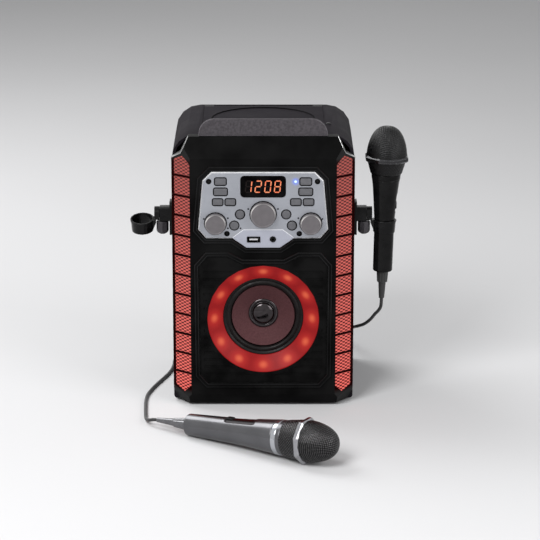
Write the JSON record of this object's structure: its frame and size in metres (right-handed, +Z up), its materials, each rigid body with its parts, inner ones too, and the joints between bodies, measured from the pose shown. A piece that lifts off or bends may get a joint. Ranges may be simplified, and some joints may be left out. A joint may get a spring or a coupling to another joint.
{
  "type": "karaoke machine with disc tray",
  "caption": "Upright karaoke machine with a top disc compartment, a control panel, a lit speaker, corner light strips, and a microphone in its side holder and another on the floor.",
  "frame": {"origin": "centre of the base of the box round everything but the microphone cords", "axes": "+Z up, -Y towards the user, in front of the controls, +X to the right seen from the front"},
  "size_m": [0.3272, 0.5259, 0.3473],
  "materials": {
    "charcoal_shell": "fine grain",
    "charcoal_lid": "fine grain",
    "black_shell": "satin",
    "gray_lip": "grained",
    "silver_panel": "satin metallic paint",
    "dark_window": "polished",
    "green_board": "printed board",
    "plated_metal": "plated",
    "black_fittings": "satin",
    "black_grille": "fine slots",
    "red_lens": "lit from behind",
    "black_basket": "satin",
    "brown_cone": "pressed paper",
    "chrome_cap": "polished, dark",
    "plain_steel": "brushed",
    "gray_keys": "satin",
    "warm_dials": "satin",
    "gloss_handle": "gloss",
    "black_mesh": "woven mesh",
    "soft_rubber": "matte",
    "satin_handle": "brushed",
    "chrome_mesh": "woven mesh",
    "cord_jacket": "matte"
  },
  "bodies": {
    "cabinet": {"front_cabinet": "black_shell", "rear_cabinet": "charcoal_shell", "cradle_lip": "gray_lip", "control_panel": "silver_panel", "display_window": "dark_window", "control_board": "green_board", "usb_socket": "plated_metal", "aux_socket": "black_fittings", "speaker_grille": "black_grille", "light_ring": "red_lens", "speaker_frame": "black_basket", "light_strip_left": "red_lens", "light_strip_right": "red_lens", "disc_deck": "black_fittings", "disc_mechanism": "plain_steel", "jack_plate": "black_fittings", "microphone_socket_1": "plated_metal", "microphone_socket_2": "plated_metal", "holder_plate_left": "black_fittings", "holder_plate_right": "black_fittings", "black_mic_coil": "cord_jacket", "black_mic_cord": "cord_jacket", "black_mic_plug": "plated_metal", "silver_mic_coil": "cord_jacket", "silver_mic_cord": "cord_jacket", "silver_mic_plug": "plated_metal"},
    "lid": {"disc_lid": "charcoal_lid"},
    "lid_button": {"lid_button": "dark_window"},
    "turntable": {"turntable": "black_fittings"},
    "pickup": {"pickup_sled": "black_fittings"},
    "cone": {"speaker_cone": "brown_cone", "dust_cap": "chrome_cap"},
    "left_cup_arm": {"cup_arm_left": "black_fittings"},
    "right_cup_arm": {"cup_arm_right": "black_fittings"},
    "left_thumb_knob": {"thumb_knob_left": "gray_keys"},
    "right_thumb_knob": {"thumb_knob_right": "gray_keys"},
    "black_mic": {"black_mic_handle": "gloss_handle", "black_mic_head": "black_mesh", "black_mic_strain_relief": "soft_rubber"},
    "black_switch": {"black_mic_switch": "black_fittings"},
    "silver_mic": {"silver_mic_handle": "satin_handle", "silver_mic_head": "chrome_mesh", "silver_mic_strain_relief": "soft_rubber"},
    "silver_switch": {"silver_mic_switch": "black_fittings"},
    "function_key": {"function_button": "gray_keys"},
    "record_key": {"record_button": "gray_keys"},
    "previous_key": {"previous_button": "gray_keys"},
    "next_key": {"next_button": "gray_keys"},
    "power_key": {"power_button": "gray_keys"},
    "light_key": {"light_button": "gray_keys"},
    "program_key": {"program_button": "gray_keys"},
    "stop_key": {"stop_button": "gray_keys"},
    "volume_down_key": {"volume_down_button": "gray_keys"},
    "echo_down_key": {"echo_down_button": "gray_keys"},
    "volume_up_key": {"volume_up_button": "gray_keys"},
    "echo_up_key": {"echo_up_button": "gray_keys"},
    "volume_dial": {"volume_knob": "warm_dials"},
    "echo_dial": {"echo_knob": "warm_dials"},
    "microphone_dial": {"microphone_knob": "warm_dials"}
  },
  "joints": [
    {"name": "lid_hinge", "type": "hinge", "parent": "cabinet", "child": "lid", "pos_m": [-0.00617, 0.18537, 0.3235], "axis": [-1, 0, 0], "range_deg": [0, 75]},
    {"name": "lid_button_press", "type": "slide", "parent": "cabinet", "child": "lid_button", "axis": [0, 0, -1], "range_m": [0, 0.0012], "stiffness_N_per_m": 150},
    {"name": "turntable_spin", "type": "hinge", "parent": "cabinet", "child": "turntable", "pos_m": [-0.00617, 0.11587, 0.311], "axis": [0, 0, 1], "continuous": true},
    {"name": "pickup_travel", "type": "slide", "parent": "cabinet", "child": "pickup", "axis": [-1, 0, 0], "range_m": [0, 0.03]},
    {"name": "cone_travel", "type": "slide", "parent": "cabinet", "child": "cone", "axis": [0, 1, 0], "range_m": [-0.001, 0.001], "stiffness_N_per_m": 800},
    {"name": "left_cup_tilt", "type": "hinge", "parent": "cabinet", "child": "left_cup_arm", "pos_m": [-0.13117, 0.04987, 0.2285], "axis": [1, 0, 0], "range_deg": [-75, 45]},
    {"name": "right_cup_tilt", "type": "hinge", "parent": "cabinet", "child": "right_cup_arm", "pos_m": [0.11883, 0.04987, 0.2285], "axis": [1, 0, 0], "range_deg": [-60, 60]},
    {"name": "left_thumb_turn", "type": "hinge", "parent": "cabinet", "child": "left_thumb_knob", "pos_m": [-0.12517, 0.04987, 0.211], "axis": [0, 0, 1], "range_deg": [-180, 180]},
    {"name": "right_thumb_turn", "type": "hinge", "parent": "cabinet", "child": "right_thumb_knob", "pos_m": [0.11283, 0.04987, 0.211], "axis": [0, 0, 1], "range_deg": [-180, 180]},
    {"name": "black_mic_lift", "type": "slide", "parent": "right_cup_arm", "child": "black_mic", "axis": [0.0227, 0, 0.9997], "range_m": [0, 0.12]},
    {"name": "black_switch_slide", "type": "slide", "parent": "black_mic", "child": "black_switch", "axis": [0.0227, 0, 0.9997], "range_m": [0, 0.006]},
    {"name": "silver_mic_lift", "type": "slide", "parent": "cabinet", "child": "silver_mic", "axis": [0, 0, 1], "range_m": [0, 0.1]},
    {"name": "silver_switch_slide", "type": "slide", "parent": "silver_mic", "child": "silver_switch", "axis": [0.8362, -0.543, 0.0768], "range_m": [0, 0.006]},
    {"name": "function_press", "type": "slide", "parent": "cabinet", "child": "function_key", "axis": [0, 1, 0], "range_m": [0, 0.001], "stiffness_N_per_m": 300},
    {"name": "record_press", "type": "slide", "parent": "cabinet", "child": "record_key", "axis": [0, 1, 0], "range_m": [0, 0.001], "stiffness_N_per_m": 300},
    {"name": "previous_press", "type": "slide", "parent": "cabinet", "child": "previous_key", "axis": [0, 1, 0], "range_m": [0, 0.001], "stiffness_N_per_m": 300},
    {"name": "next_press", "type": "slide", "parent": "cabinet", "child": "next_key", "axis": [0, 1, 0], "range_m": [0, 0.001], "stiffness_N_per_m": 300},
    {"name": "power_press", "type": "slide", "parent": "cabinet", "child": "power_key", "axis": [0, 1, 0], "range_m": [0, 0.001], "stiffness_N_per_m": 300},
    {"name": "light_press", "type": "slide", "parent": "cabinet", "child": "light_key", "axis": [0, 1, 0], "range_m": [0, 0.001], "stiffness_N_per_m": 300},
    {"name": "program_press", "type": "slide", "parent": "cabinet", "child": "program_key", "axis": [0, 1, 0], "range_m": [0, 0.001], "stiffness_N_per_m": 300},
    {"name": "stop_press", "type": "slide", "parent": "cabinet", "child": "stop_key", "axis": [0, 1, 0], "range_m": [0, 0.001], "stiffness_N_per_m": 300},
    {"name": "volume_down_press", "type": "slide", "parent": "cabinet", "child": "volume_down_key", "axis": [0, 1, 0], "range_m": [0, 0.001], "stiffness_N_per_m": 300},
    {"name": "echo_down_press", "type": "slide", "parent": "cabinet", "child": "echo_down_key", "axis": [0, 1, 0], "range_m": [0, 0.001], "stiffness_N_per_m": 300},
    {"name": "volume_up_press", "type": "slide", "parent": "cabinet", "child": "volume_up_key", "axis": [0, 1, 0], "range_m": [0, 0.001], "stiffness_N_per_m": 300},
    {"name": "echo_up_press", "type": "slide", "parent": "cabinet", "child": "echo_up_key", "axis": [0, 1, 0], "range_m": [0, 0.001], "stiffness_N_per_m": 300},
    {"name": "volume_turn", "type": "hinge", "parent": "cabinet", "child": "volume_dial", "pos_m": [-0.00617, 0.00987, 0.23827], "axis": [0, 1, 0], "range_deg": [-150, 150]},
    {"name": "echo_turn", "type": "hinge", "parent": "cabinet", "child": "echo_dial", "pos_m": [-0.06173, 0.00987, 0.22724], "axis": [0, 1, 0], "range_deg": [-150, 150]},
    {"name": "microphone_turn", "type": "hinge", "parent": "cabinet", "child": "microphone_dial", "pos_m": [0.04939, 0.00987, 0.22724], "axis": [0, 1, 0], "range_deg": [-150, 150]}
  ]
}
